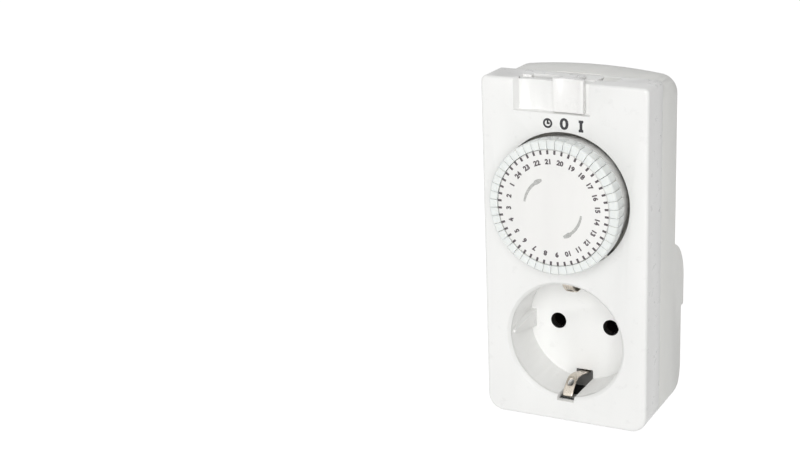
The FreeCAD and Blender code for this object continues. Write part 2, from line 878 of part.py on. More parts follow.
def program_dial():
    spindle_end = plate_back_y + 2 + running_clearance + 1.4
    drum = turned(
        [
            (0, dial_face_y),
            (face_radius - 0.3, dial_face_y),
            (face_radius, dial_face_y + 0.3),
            (face_radius, dial_face_y + face_thickness),
            (drum_outer, dial_face_y + face_thickness),
            (drum_outer, dial_floor_y),
            (skirt_inner, dial_floor_y),
            (skirt_inner, skirt_front_y),
            (skirt_outer, skirt_front_y),
            (skirt_outer, dial_back_y),
            (drum_inner, dial_back_y),
            (drum_inner, dial_face_y + face_thickness),
            (hub_radius, dial_face_y + face_thickness),
            (hub_radius, dial_gear_y),
            (spindle_radius, dial_gear_y),
            (spindle_radius, spindle_end),
            (0, spindle_end),
        ],
        0,
        dial_z,
    )
    groove_y = plate_back_y + 2 + running_clearance
    groove = tube(spindle_radius - 0.5, spindle_radius + 1, groove_y, groove_y + 0.8, 0, dial_z)
    slot = block(
        tail_middle - tail_depth / 2 - slide_clearance,
        tail_middle + tail_depth / 2 + slide_clearance,
        dial_floor_y - 1,
        dial_back_y + 1,
        dial_z - tail_width / 2 - slide_clearance,
        dial_z + tail_width / 2 + slide_clearance,
    )
    slots = [dial_copy(slot, angle) for angle in tappet_angles()]
    return drum.cut(groove).cut(Part.Compound(slots))


def dial_retaining_ring():
    y = plate_back_y + 2 + running_clearance + bearing_clearance
    ring = tube(spindle_radius - 0.5, spindle_radius + 1.6, y, y + 0.7, 0, dial_z)
    return ring.cut(block(-0.9, 0.9, y - 1, y + 2, dial_z - spindle_radius - 3, dial_z))


def tappet_angles():
    return [first_hour_angle + tappet_pitch * (i + 0.5) for i in range(tappet_count)]


def tappet_blank():
    """One tappet drawn along +X: head, shank under the rim of the face, and tail through the dial's floor."""
    shank_front = dial_face_y + face_thickness + slide_clearance
    side = [
        (head_inner, dial_face_y),
        (dial_radius - 0.5, dial_face_y),
        (dial_radius, dial_face_y + 0.5),
        (dial_radius, head_back_y),
        (shank_outer, head_back_y),
        (shank_outer, dial_floor_y - tappet_travel - slide_clearance),
        (shank_inner, dial_floor_y - tappet_travel - slide_clearance),
        (shank_inner, shank_front),
        (head_inner, shank_front),
    ]
    spread = math.tan(math.radians(tappet_pitch / 2))
    inner_half = shank_inner * spread - tappet_gap / 2
    outer_half = dial_radius * spread - tappet_gap / 2
    profile = closed_face([V(x, y, dial_z - outer_half) for x, y in side])
    body = profile.extrude(V(0, 0, 2 * outer_half))
    wedge = plan_prism(
        [
            (shank_inner, dial_z - inner_half),
            (dial_radius, dial_z - outer_half),
            (dial_radius, dial_z + outer_half),
            (shank_inner, dial_z + inner_half),
        ],
        dial_face_y - 1,
        dial_back_y,
    )
    tail = block(
        tail_middle - tail_depth / 2,
        tail_middle + tail_depth / 2,
        dial_floor_y - tappet_travel - slide_clearance - 0.2,
        dial_back_y,
        dial_z - tail_width / 2,
        dial_z + tail_width / 2,
    )
    return joined([body.common(wedge), tail])


def tappet_pair(blank, hour):
    angles = tappet_angles()[2 * hour : 2 * hour + 2]
    return Part.Compound([dial_copy(blank, angle) for angle in angles])


def feeler_lever():
    left = nose_x - lever_width / 2
    right = nose_x + lever_width / 2
    back = lever_y + lever_thickness
    bar = block(left, right, lever_y, back, lever_pin_z, nose_z + nose_height / 2)
    nose = side_prism(
        [
            (back, nose_z - nose_height / 2),
            (dial_back_y + 0.8, nose_z - nose_height / 2),
            (dial_back_y + running_clearance, nose_z - nose_height / 2 + 0.6),
            (dial_back_y + running_clearance, nose_z + nose_height / 2 - 0.6),
            (dial_back_y + 0.8, nose_z + nose_height / 2),
            (back, nose_z + nose_height / 2),
        ],
        left,
        right,
    )
    hub = cross_rod(lever_hub_radius, lever_width / 2 + 0.4)
    return joined([bar, nose, hub]).cut(cross_rod(lever_pin_radius + bearing_clearance, switch_width))


def lever_pin():
    return cross_rod(lever_pin_radius, lever_width / 2 + 0.7 + ear_thickness)


def microswitch_body():
    body = block(
        nose_x - switch_width / 2,
        nose_x + switch_width / 2,
        switch_y,
        switch_y + switch_depth,
        switch_z,
        switch_z + switch_length,
    )
    return body.cut(rod(plunger_radius + bearing_clearance, switch_y - 1, switch_y + 5, nose_x, plunger_z))


def microswitch_plunger():
    tip = lever_y + lever_thickness + 0.1
    stalk = rod(plunger_radius, tip, switch_y + 3, nose_x, plunger_z)
    crown = [edge for edge in stalk.Edges if edge.isClosed() and edge.Vertexes[0].Y < tip + 0.01]
    return stalk.makeChamfer(0.4, crown)


def selector_knob():
    plate = block(knob_left, knob_right, knob_front_y, knob_back_y, recess_low_z + 0.5, knob_top_z)
    lip_width = 1.1
    dish_half = knob_width / 2 - lip_width
    dish_radius = (dish_half**2 + knob_dish**2) / (2 * knob_dish)
    dish = Part.makeCylinder(
        dish_radius,
        recess_drop + 4,
        V(knob_middle, knob_front_y + knob_dish - dish_radius, recess_low_z - 1),
        V(0, 0, 1),
    )
    bridge_left = knob_middle - bridge_width / 2
    bridge_right = knob_middle + bridge_width / 2
    bridge = block(
        bridge_left, bridge_right, knob_back_y - 0.5, stem_back_y, knob_top_z - bridge_height, knob_top_z
    )
    stem = block(bridge_left, bridge_right, stem_y, stem_back_y, cam_low_z + cam_height, knob_top_z - 0.1)
    edges = [edge for edge in plate.Edges if all(abs(v.Y - knob_front_y) < 0.001 for v in edge.Vertexes)]
    plate = plate.makeFillet(0.4, edges)
    return joined([plate.cut(dish), bridge, stem])


def selector_cam():
    left = knob_middle - cam_length / 2
    right = knob_middle + cam_length / 2
    bar = block(left, right, stem_y, stem_back_y, cam_low_z, cam_low_z + cam_height)
    for step in (-1, 0, 1):
        x = knob_middle + step * knob_step
        bar = bar.cut(rod(notch_radius, stem_y - 1, stem_back_y + 1, x, cam_low_z - 0.3))
    return bar


def selector_contact():
    """Brass bridge on the back of the cam whose two feet wipe the fixed terminals."""
    y = stem_back_y
    low = cam_low_z + 0.6
    high = cam_low_z + 2.8
    reach = knob_step / 2 + foot_width / 2
    pieces = [block(knob_middle - reach, knob_middle + reach, y, y + 0.4, low, high)]
    for side in (-1, 1):
        x = knob_middle + side * knob_step / 2
        pieces.append(block(x - foot_width / 2, x + foot_width / 2, y, plate_y - 0.6, low, high))
    return joined(pieces)


def selector_terminals():
    """Four pads in a row, so that the contact's feet join the next pair at each stop."""
    pads = []
    low = cam_low_z + 0.8
    high = cam_low_z + 2.6
    for step in range(4):
        x = knob_middle + knob_step * (0.5 - step)
        pads.append(block(x - pad_width / 2, x + pad_width / 2, plate_y - 0.5, plate_y, low, high))
    return Part.Compound(pads)


def detent_spring():
    """Leaf spring under the cam, with one raised bow that meets the cam's notches."""
    x = knob_middle - knob_step
    low = cam_low_z - 1.5
    points = [
        (x - spring_half, low),
        (x + spring_half, low),
        (x + spring_half, low + 0.3),
        (x + 1.4, low + 0.3),
        (x + 0.4, low + 1.3),
        (x - 0.4, low + 1.3),
        (x - 1.4, low + 0.3),
        (x - spring_half, low + 0.3),
    ]
    pieces = [plan_prism(points, stem_y, stem_back_y)]
    for left in (x - spring_half, x + spring_half - 1.5):
        pieces.append(block(left, left + 1.5, stem_y, plate_y, low - 1.4, low))
    return joined(pieces)


def housing_screws():
    screws = []
    seat = seam_y + head_seat - screw_head_height
    tip = cover_inner_y + 1.0
    for x, z in screw_places():
        head = rod(screw_head_radius, seat + bearing_clearance, seat + screw_head_height, x, z)
        shank = rod(screw_radius, tip, seat + 0.2, x, z)
        slot = block(x - 4, x + 4, seat + screw_head_height - 0.8, seat + 3, z - 0.4, z + 0.4)
        screws.append(joined([head, shank]).cut(slot))
    return Part.Compound(screws)


parts = {
    "front_cover": front_cover(),
    "rear_shell": rear_shell(),
    "socket_insert": socket_insert(),
    "earth_clip_upper": earth_clip(1),
    "earth_clip_lower": earth_clip(-1),
    "earth_bridge": earth_bridge(),
    "plug_earth_strip_upper": plug_earth_strip(1),
    "plug_earth_strip_lower": plug_earth_strip(-1),
    "plug_pin_left": plug_pin(-1),
    "plug_pin_right": plug_pin(1),
    "contact_sleeve_left": contact_sleeve(-1),
    "contact_sleeve_right": contact_sleeve(1),
    "live_busbar": live_busbar(),
    "switched_busbar": switched_busbar(),
    "neutral_busbar": neutral_busbar(),
    "movement_plate": movement_plate(),
    "movement_screws": movement_screws(),
    "synchronous_motor": synchronous_motor(),
    "motor_screws": motor_screws(),
    "motor_pinion": motor_pinion(),
    "reduction_gear": reduction_gear(),
    "reduction_axle": reduction_axle(),
    "dial_gear": dial_gear(),
    "dial_retaining_ring": dial_retaining_ring(),
    "program_dial": program_dial(),
    "feeler_lever": feeler_lever(),
    "lever_pin": lever_pin(),
    "microswitch_body": microswitch_body(),
    "microswitch_plunger": microswitch_plunger(),
    "selector_knob": selector_knob(),
    "selector_cam": selector_cam(),
    "selector_contact": selector_contact(),
    "selector_terminals": selector_terminals(),
    "detent_spring": detent_spring(),
    "housing_screws": housing_screws(),
}
blank = tappet_blank()
for hour in range(tappet_count // 2):
    parts["tappets_hour_%02d" % (hour + 1)] = tappet_pair(blank, hour)

for name, shape in parts.items():
    shape.exportStep("parts/" + name + ".step")
    print(name, len(shape.Solids), "solids", round(shape.Volume, 1), "mm3")
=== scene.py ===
import json
import math

import bmesh
import bpy
from mathutils import Matrix, Vector

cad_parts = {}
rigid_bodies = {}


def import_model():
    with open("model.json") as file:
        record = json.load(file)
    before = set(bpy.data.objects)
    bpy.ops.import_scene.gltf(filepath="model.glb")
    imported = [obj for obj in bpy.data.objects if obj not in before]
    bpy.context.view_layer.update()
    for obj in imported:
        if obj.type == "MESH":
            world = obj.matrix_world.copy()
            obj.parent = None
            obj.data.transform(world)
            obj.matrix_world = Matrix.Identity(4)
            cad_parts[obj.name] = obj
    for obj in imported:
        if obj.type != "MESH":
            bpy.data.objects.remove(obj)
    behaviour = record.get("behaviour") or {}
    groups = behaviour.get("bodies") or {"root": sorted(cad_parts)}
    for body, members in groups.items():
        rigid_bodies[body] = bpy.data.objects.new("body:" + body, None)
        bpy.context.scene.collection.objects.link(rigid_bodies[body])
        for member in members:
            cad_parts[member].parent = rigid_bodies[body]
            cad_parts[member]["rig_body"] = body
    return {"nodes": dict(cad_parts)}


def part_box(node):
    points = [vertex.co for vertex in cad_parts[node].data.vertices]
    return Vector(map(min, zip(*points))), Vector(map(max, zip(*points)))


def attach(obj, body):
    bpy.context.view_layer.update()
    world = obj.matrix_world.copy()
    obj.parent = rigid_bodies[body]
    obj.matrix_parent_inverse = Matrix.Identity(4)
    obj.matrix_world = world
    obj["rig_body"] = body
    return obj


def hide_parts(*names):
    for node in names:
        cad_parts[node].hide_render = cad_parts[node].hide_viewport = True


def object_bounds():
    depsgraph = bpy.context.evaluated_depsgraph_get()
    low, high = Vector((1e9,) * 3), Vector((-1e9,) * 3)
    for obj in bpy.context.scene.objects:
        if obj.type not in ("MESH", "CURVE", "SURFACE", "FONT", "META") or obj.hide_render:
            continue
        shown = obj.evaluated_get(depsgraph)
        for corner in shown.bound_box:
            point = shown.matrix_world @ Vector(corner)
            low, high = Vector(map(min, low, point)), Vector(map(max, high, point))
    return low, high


bl_info = {
    "name": "Plug in timer switch",
    "version": (1, 0, 0),
    "blender": (4, 5, 0),
    "location": "View3D > Sidebar > Timer",
    "description": "Dresses the timer switch with moulded plastic, printed scales and plated contacts",
    "category": "Object",
}

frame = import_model()
cad_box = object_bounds()

HOURS = 24
TAPPET_PITCH = math.radians(7.5)
MERGE_DISTANCE = 2e-6
FLAT_ANGLE = math.radians(0.4)
BEVEL_ANGLE = math.radians(32)
TAPPET_NODES = [f"tappets_hour_{hour:02d}" for hour in range(1, HOURS + 1)]


def span(node):
    """Lowest corner, highest corner and middle of a CAD node."""
    low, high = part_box(node)
    return low, high, (low + high) / 2


GEAR_MIDDLE = span("dial_gear")[2]
DIAL_CENTRE = Vector((GEAR_MIDDLE.x, 0, GEAR_MIDDLE.z))
DIAL_FACE_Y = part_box("program_dial")[0].y
FRONT_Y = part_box("front_cover")[0].y


class HousingLook(bpy.types.PropertyGroup):
    white: bpy.props.FloatVectorProperty(
        name="Cover white",
        description="Colour of the moulded front",
        subtype="COLOR",
        size=3,
        min=0,
        max=1,
        default=(0.87, 0.87, 0.855),
    )
    shell_white: bpy.props.FloatVectorProperty(
        name="Shell white",
        description="Colour of the rear shell",
        subtype="COLOR",
        size=3,
        min=0,
        max=1,
        default=(0.82, 0.82, 0.79),
    )
    recess_left: bpy.props.FloatProperty(
        name="Recess left",
        description="Left wall of the selector recess, across the front",
        default=-0.016,
        unit="LENGTH",
        subtype="DISTANCE",
    )
    recess_right: bpy.props.FloatProperty(
        name="Recess right",
        description="Right wall of the selector recess, across the front",
        default=0.009,
        unit="LENGTH",
        subtype="DISTANCE",
    )
    recess_lift: bpy.props.FloatProperty(
        name="Recess lift",
        description="How far the floor of the recess comes forward",
        default=0.0016,
        unit="LENGTH",
        subtype="DISTANCE",
    )
    recess_slope: bpy.props.FloatProperty(
        name="Recess slope",
        description="How far the left wall leans out at the front",
        default=0.001,
        unit="LENGTH",
        subtype="DISTANCE",
    )
    edge: bpy.props.FloatProperty(
        name="Edge",
        description="Width of the soft moulded edges",
        default=0.00035,
        min=0,
        unit="LENGTH",
        subtype="DISTANCE",
    )
    # Painted shade: inner walls below this height get the dark painted shade material.
    unlit_height: bpy.props.FloatProperty(
        name="Unlit height",
        description="Top of the darker inner walls round the socket",
        default=0.028,
        unit="LENGTH",
        subtype="DISTANCE",
    )
    slot_width: bpy.props.FloatProperty(
        name="Earth slot",
        description="Width of the earth slots in the rim of the socket",
        default=0.006,
        unit="LENGTH",
        subtype="DISTANCE",
    )


class DialLook(bpy.types.PropertyGroup):
    tick_radius: bpy.props.FloatProperty(
        name="Tick radius",
        description="Middle of the half hour ticks",
        default=0.0182,
        unit="LENGTH",
        subtype="DISTANCE",
    )
    tick_length: bpy.props.FloatProperty(
        name="Tick length",
        description="Length of a printed tick",
        default=0.0013,
        unit="LENGTH",
        subtype="DISTANCE",
    )
    tick_width: bpy.props.FloatProperty(
        name="Tick width",
        description="Width of a printed tick",
        default=0.0007,
        unit="LENGTH",
        subtype="DISTANCE",
    )
    numeral_radius: bpy.props.FloatProperty(
        name="Numeral radius",
        description="Middle of the hour numerals",
        default=0.0151,
        unit="LENGTH",
        subtype="DISTANCE",
    )
    numeral_height: bpy.props.FloatProperty(
        name="Numeral height",
        description="Height of the hour numerals",
        default=0.0016,
        unit="LENGTH",
        subtype="DISTANCE",
    )
    first_hour_angle: bpy.props.FloatProperty(
        name="First hour",
        description="Angle of hour 1, from the right towards the top",
        default=math.radians(155),
        subtype="ANGLE",
    )
    head_spread: bpy.props.FloatProperty(
        name="Head spread",
        description="Factor that widens each tappet head about its middle",
        default=1.04,
    )
    face_sink: bpy.props.FloatProperty(
        name="Face sink",
        description="How far the face lies behind the fronts of the tappets",
        default=0.00008,
        unit="LENGTH",
        subtype="DISTANCE",
    )
    arrow_radius: bpy.props.FloatProperty(
        name="Arrow radius",
        description="Middle of the two turning arrows",
        default=0.0097,
        unit="LENGTH",
        subtype="DISTANCE",
    )
    ink_thickness: bpy.props.FloatProperty(
        name="Ink thickness",
        description="How far the print stands on the face",
        default=0.00003,
        unit="LENGTH",
        subtype="DISTANCE",
    )


class MarksLook(bpy.types.PropertyGroup):
    clock_x: bpy.props.FloatProperty(
        name="Clock place",
        description="Middle of the clock mark, across the front",
        default=-0.0052,
        unit="LENGTH",
        subtype="DISTANCE",
    )
    off_x: bpy.props.FloatProperty(
        name="Off place",
        description="Middle of the off mark, across the front",
        default=0.0004,
        unit="LENGTH",
        subtype="DISTANCE",
    )
    on_x: bpy.props.FloatProperty(
        name="On place",
        description="Middle of the on mark, across the front",
        default=0.0061,
        unit="LENGTH",
        subtype="DISTANCE",
    )
    ink_thickness: bpy.props.FloatProperty(
        name="Ink thickness",
        description="How far the marks stand on the cover",
        default=0.00002,
        unit="LENGTH",
        subtype="DISTANCE",
    )


class StageLook(bpy.types.PropertyGroup):
    azimuth: bpy.props.FloatProperty(
        name="Camera azimuth",
        description="How far the camera stands to the right",
        default=math.radians(22.2),
        subtype="ANGLE",
    )
    elevation: bpy.props.FloatProperty(
        name="Camera elevation",
        description="How far the camera stands above",
        default=math.radians(18.48),
        subtype="ANGLE",
    )
    roll: bpy.props.FloatProperty(
        name="Camera roll",
        description="Turn of the camera about its own axis",
        default=math.radians(-0.3),
        subtype="ANGLE",
    )
    distance: bpy.props.FloatProperty(
        name="Camera distance",
        description="Distance from the camera to the aim point",
        default=0.502,
        unit="LENGTH",
        subtype="DISTANCE",
    )
    floor_drop: bpy.props.FloatProperty(
        name="Floor drop",
        description="Space between the timer and the floor",
        default=0.045,
        unit="LENGTH",
        subtype="DISTANCE",
    )


class Signal:
    """A socket that adds Math nodes when it stands in an expression."""

    def __init__(self, paint, socket):
        self.paint = paint
        self.socket = socket

    def _with(self, operation, first, second):
        return self.paint.node("ShaderNodeMath", {"operation": operation}, {0: first, 1: second})

    def __add__(self, other):
        return self._with("ADD", self, other)

    def __mul__(self, other):
        return self._with("MULTIPLY", self, other)


class Paint:
    """A material under construction, with one method that adds any node."""

    def __init__(self, name):
        self.material = bpy.data.materials.new(name)
        self.material.use_nodes = True
        self.tree = self.material.node_tree
        self.tree.nodes.clear()

    def node(self, kind, settings=None, inputs=None, output=0):
        made = self.tree.nodes.new(kind)
        for key, value in (settings or {}).items():
            setattr(made, key, value)
        for key, value in (inputs or {}).items():
            target = made.inputs[key]
            if isinstance(value, Signal):
                self.tree.links.new(value.socket, target)
            else:
                target.default_value = value
        return Signal(self, made.outputs[output] if made.outputs else None)

    def place(self, scale=(1, 1, 1), turn=(0, 0, 0), shift=(0, 0, 0)):
        point = self.node("ShaderNodeTexCoord", output=3)
        return self.node(
            "ShaderNodeMapping",
            {"vector_type": "POINT"},
            {"Vector": point, "Scale": scale, "Rotation": turn, "Location": shift},
        )

    def noise(self, where, scale, detail=2.0, roughness=0.5):
        return self.node(
            "ShaderNodeTexNoise",
            {"noise_dimensions": "3D"},
            {"Vector": where, "Scale": scale, "Detail": detail, "Roughness": roughness},
        )

    def ramp(self, value, low, high, from_low=0.0, from_high=1.0):
        return self.node(
            "ShaderNodeMapRange",
            {"clamp": True},
            {
                "Value": value,
                "From Min": from_low,
                "From Max": from_high,
                "To Min": low,
                "To Max": high,
            },
        )

    def mix(self, factor, first, second):
        return self.node(
            "ShaderNodeMix",
            {"data_type": "RGBA"},
            {"Factor": factor, 6: first, 7: second},
            output=2,
        )

    def bump(self, height, distance, strength=1.0, below=None):
        inputs = {"Height": height, "Distance": distance, "Strength": strength}
        if below is not None:
            inputs["Normal"] = below
        return self.node("ShaderNodeBump", {}, inputs)

    def finish(self, **sockets):
        shader = self.node(
            "ShaderNodeBsdfPrincipled",
            {},
            {key.replace("_", " "): value for key, value in sockets.items()},
        )
        self.node("ShaderNodeOutputMaterial", {}, {"Surface": shader})
        return self.material


def rgba(colour):
    return (colour[0], colour[1], colour[2], 1.0)


def shaded(colour, factor):
    return (colour[0] * factor, colour[1] * factor, colour[2] * factor, 1.0)


def moulded_plastic(name, colour, gloss=0.34, grain=0.000004, mottle=0.97, subsurface=0.0):
    """Injection moulded plastic: a spark eroded grain, faint flow marks and uneven gloss."""
    paint = Paint(name)
    here = paint.place()
    flow = paint.noise(paint.place(scale=(1, 1, 0.25)), 90.0, 3.0)
    cloud = paint.noise(here, 260.0, 4.0)
    fine = paint.noise(here, 5200.0, 2.0)
    tone = paint.mix(paint.ramp(flow, 0.0, 1.0, 0.35, 0.65), shaded(colour, mottle), rgba(colour))
    gloss_map = paint.ramp(cloud * 0.7 + fine * 0.3, gloss - 0.05, gloss + 0.07, 0.3, 0.7)
    skin = paint.bump(fine, grain, 0.6, paint.bump(cloud, grain * 4, 0.25))
    return paint.finish(
        Base_Color=tone,
        Roughness=gloss_map,
        Normal=skin,
        Subsurface_Weight=subsurface,
        Subsurface_Radius=(1.0, 0.95, 0.85),
        Subsurface_Scale=0.0012,
        IOR=1.5,
        Coat_Weight=0.12,
        Coat_Roughness=0.12,
    )


def printed_ink(name, colour):
    """Pad printed ink: slightly uneven coverage on the plastic below."""
    paint = Paint(name)
    cover = paint.noise(paint.place(), 2600.0, 3.0)
    tone = paint.mix(paint.ramp(cover, 0.0, 1.0, 0.3, 0.75), rgba(colour), shaded(colour, 1.9))
    return paint.finish(
        Base_Color=tone,
        Roughness=paint.ramp(cover, 0.42, 0.62),
        Normal=paint.bump(cover, 0.000004, 0.5),
    )


def rolled_metal(name, colour, along, gloss=0.28, tarnish=0.82):
    """Rolled or drawn metal strip with fine lines along one axis and a light tarnish."""
    paint = Paint(name)
    stretch = {"X": (0.04, 1, 1), "Y": (1, 0.04, 1), "Z": (1, 1, 0.04)}[along]
    lines = paint.noise(paint.place(scale=stretch), 4200.0, 3.0)
    stain = paint.noise(paint.place(), 420.0, 5.0, 0.6)
    tone = paint.mix(paint.ramp(stain, 0.0, 1.0, 0.42, 0.72), rgba(colour), shaded(colour, tarnish))
    rough = paint.ramp(lines * 0.6 + stain * 0.4, gloss - 0.08, gloss + 0.16, 0.3, 0.7)
    return paint.finish(
        Base_Color=tone,
        Metallic=1.0,
        Roughness=rough,
        Normal=paint.bump(lines, 0.000003, 0.5),
    )


def link_object(name, data):
    made = bpy.data.objects.new(name, data)
    bpy.context.scene.collection.objects.link(made)
    return made


def drawn(name, material, sketch, body):
    """A new piece: sketch fills a bmesh, and the piece rides on its body."""
    mesh = bpy.data.meshes.new(name)
    shape = bmesh.new()
    sketch(shape)
    shape.to_mesh(mesh)
    shape.free()
    piece = link_object(name, mesh)
    mesh.materials.append(material)
    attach(piece, body)
    return piece


def cut_boxes(mesh, boxes):
    """The mesh with straight slots cut out of it, each given by its two corners."""
    body = link_object("uncut", mesh)
    tool_mesh = bpy.data.meshes.new("slots")
    shape = bmesh.new()
    for low, high in boxes:
        size = high - low
        stand = Matrix.Translation((low + high) / 2) @ Matrix.Diagonal((size.x, size.y, size.z, 1))
        bmesh.ops.create_cube(shape, size=1, matrix=stand)
    shape.to_mesh(tool_mesh)
    shape.free()
    tool = link_object("slots", tool_mesh)
    cut = body.modifiers.new("slots", "BOOLEAN")
    cut.operation = "DIFFERENCE"
    cut.solver = "EXACT"
    cut.object = tool
    bpy.context.view_layer.update()
    done = bpy.data.meshes.new_from_object(body.evaluated_get(bpy.context.evaluated_depsgraph_get()))
    bpy.data.objects.remove(body)
    bpy.data.objects.remove(tool)
    return done


def softened(node, name, material, edge, reshape=None, slots=()):
    """Stands for a CAD node: its merged mesh, shaped and cut where asked, with soft edges."""
    source = frame["nodes"][node]
    mesh = source.data.copy()
    mesh.materials.clear()
    shape = bmesh.new()
    shape.from_mesh(mesh)
    bmesh.ops.remove_doubles(shape, verts=shape.verts, dist=MERGE_DISTANCE)
    if reshape:
        reshape(shape)
    shape.to_mesh(mesh)
    shape.free()
    if slots:
        mesh = cut_boxes(mesh, slots)
    shape = bmesh.new()
    shape.from_mesh(mesh)
    bmesh.ops.remove_doubles(shape, verts=shape.verts, dist=MERGE_DISTANCE)
    bmesh.ops.dissolve_limit(
        shape,
        angle_limit=FLAT_ANGLE,
        verts=shape.verts,
        edges=shape.edges,
        use_dissolve_boundaries=False,
    )
    for face in shape.faces:
        face.smooth = True
        face.material_index = 0
    shape.to_mesh(mesh)
    shape.free()
    mesh.materials.clear()
    mesh.materials.append(material)
    mesh.name = name
    piece = link_object(name, mesh)
    bevel = piece.modifiers.new("moulded edges", "BEVEL")
    bevel.width = edge
    bevel.segments = 2
    bevel.limit_method = "ANGLE"
    bevel.angle_limit = BEVEL_ANGLE
    bevel.use_clamp_overlap = True
    bevel.harden_normals = True
    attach(piece, source["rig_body"])
    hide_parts(node)
    return piece


def shade_inside(piece, material, is_inside):
    """Paints shade: the faces that look into the closed housing get a second, darker material as painted
    shade.
    """
    piece.data.materials.append(material)
    for face in piece.data.polygons:
        if is_inside(face.center):
            face.material_index = 1


def dress(node, material):
    """Gives a carried over CAD node its material."""
    mesh = frame["nodes"][node].data
    mesh.materials.clear()
    mesh.materials.append(material)


def on_dial(radius, angle, y):
    return DIAL_CENTRE + Vector((radius * math.cos(angle), y, radius * math.sin(angle)))


def raised_prism(shape, outline, thickness):
    """Face through the outline's points, raised towards the front by thickness."""
    corners = [shape.verts.new(point) for point in outline]
    face = shape.faces.new(corners)
    raised = bmesh.ops.extrude_face_region(shape, geom=[face])
    tops = [item for item in raised["geom"] if isinstance(item, bmesh.types.BMVert)]
    bmesh.ops.translate(shape, verts=tops, vec=(0, -thickness, 0))
    bmesh.ops.recalc_face_normals(shape, faces=shape.faces)


def sunk_face(look):
    """Sinks the face behind the fronts of the tappets by more than the print's height."""

    def reshape(shape):
        for vert in shape.verts:
            if vert.co.y < DIAL_FACE_Y + 0.0006:
                vert.co.y += look.face_sink

    return reshape


def close_heads(look):
    """Widens the tappet heads, which narrows the gap between neighbours."""
    neck_radius = 0.0186

    def reshape(shape):
        for vert in shape.verts:
            across = vert.co - DIAL_CENTRE
            radius = math.hypot(across.x, across.z)
            if radius < neck_radius:
                continue
            angle = math.atan2(across.z, across.x)
            place = (angle - look.first_hour_angle) / TAPPET_PITCH
            middle = look.first_hour_angle + (math.floor(place) + 0.5) * TAPPET_PITCH
            wider = middle + (angle - middle) * look.head_spread
            vert.co = on_dial(radius, wider, vert.co.y)

    return reshape


def tick_marks(look):
    def sketch(shape):
        for step in range(2 * HOURS):
            angle = look.first_hour_angle + TAPPET_PITCH * step
            along = Vector((math.cos(angle), 0, math.sin(angle)))
            across = Vector((-along.z, 0, along.x)) * look.tick_width / 2
            inner = on_dial(look.tick_radius - look.tick_length / 2, angle, DIAL_FACE_Y + look.face_sink)
            outer = inner + along * look.tick_length
            raised_prism(
                shape,
                [inner - across, outer - across, outer + across, inner + across],
                look.ink_thickness,
            )

    return sketch


def arrow_mark(look, tail, head):
    """Curved arrow that runs clockwise from tail to head and widens into its head."""

    def sketch(shape):
        steps = 18
        half_tail = 0.00034
        half_body = 0.00048
        half_head = 0.00078
        head_start = 0.76
        upper = []
        lower = []
        for step in range(steps + 1):
            share = step / steps
            angle = tail + (head - tail) * share
            if share < head_start:
                half = half_tail + (half_body - half_tail) * min(1.0, share / 0.45)
            else:
                half = half_head * math.sqrt(1.0 - 0.8 * ((share - head_start) / (1.0 - head_start)) ** 2)
            upper.append(on_dial(look.arrow_radius + half, angle, DIAL_FACE_Y + look.face_sink))
            lower.append(on_dial(look.arrow_radius - half, angle, DIAL_FACE_Y + look.face_sink))
        raised_prism(shape, upper + lower[::-1], look.ink_thickness)

    return sketch


def raised_knob(shape):
    """Brings the thumb plate of the knob forward and makes it thinner."""
    old_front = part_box("selector_knob")[0].y
    old_back = old_front + 0.0027
    new_front, new_back = FRONT_Y + 0.0003, FRONT_Y + 0.0023
    for vert in shape.verts:
        depth = (vert.co.y - old_front) / (old_back - old_front)
        if depth < 1.002:
            vert.co.y = new_front + depth * (new_back - new_front)


def serif_bar(marks, row_z):
    """Upright bar with short feet, the sign for always on."""

    def sketch(shape):
        stem, foot, half, rise = 0.00046, 0.00078, 0.0019, 0.0007
        right = [(foot, -half), (foot, -half + rise), (stem, -half + rise * 1.4)]
        right += [(x, -z) for x, z in reversed(right)]
        outline = right + [(-x, z) for x, z in reversed(right)]
        middle = Vector((marks.on_x, FRONT_Y, row_z - 0.0001))
        raised_prism(shape, [middle + Vector((x, 0, z)) for x, z in outline], marks.ink_thickness)

    return sketch


def clock_face(marks, row_z):
    """Small clock, the sign for the timed setting: a ring with two hands."""

    def sketch(shape):
        middle = Vector((marks.clock_x, FRONT_Y, row_z))
        inner, outer = 0.00096, 0.0016
        spoke = [shape.verts.new(middle + Vector((radius, 0, 0))) for radius in (inner, outer)]
        edge = shape.edges.new(spoke)
        bmesh.ops.spin(
            shape,
            geom=[*spoke, edge],
            cent=middle,
            axis=(0, 1, 0),
            angle=math.tau,
            steps=32,
            use_merge=True,
            use_duplicate=False,
        )
        ring = list(shape.faces)
        raised = bmesh.ops.extrude_face_region(shape, geom=ring)
        tops = [item for item in raised["geom"] if isinstance(item, bmesh.types.BMVert)]
        bmesh.ops.translate(shape, verts=tops, vec=(0, -marks.ink_thickness, 0))
        bmesh.ops.recalc_face_normals(shape, faces=shape.faces)
        width = 0.0003
        reach = 0.0007
        start = (-width, -width)
        for low, high in ((start, (width, inner + 0.0001)), (start, (reach, width))):
            corners = [(low[0], low[1]), (high[0], low[1]), (high[0], high[1]), (low[0], high[1])]
            raised_prism(shape, [middle + Vector((x, 0, z)) for x, z in corners], marks.ink_thickness)

    return sketch


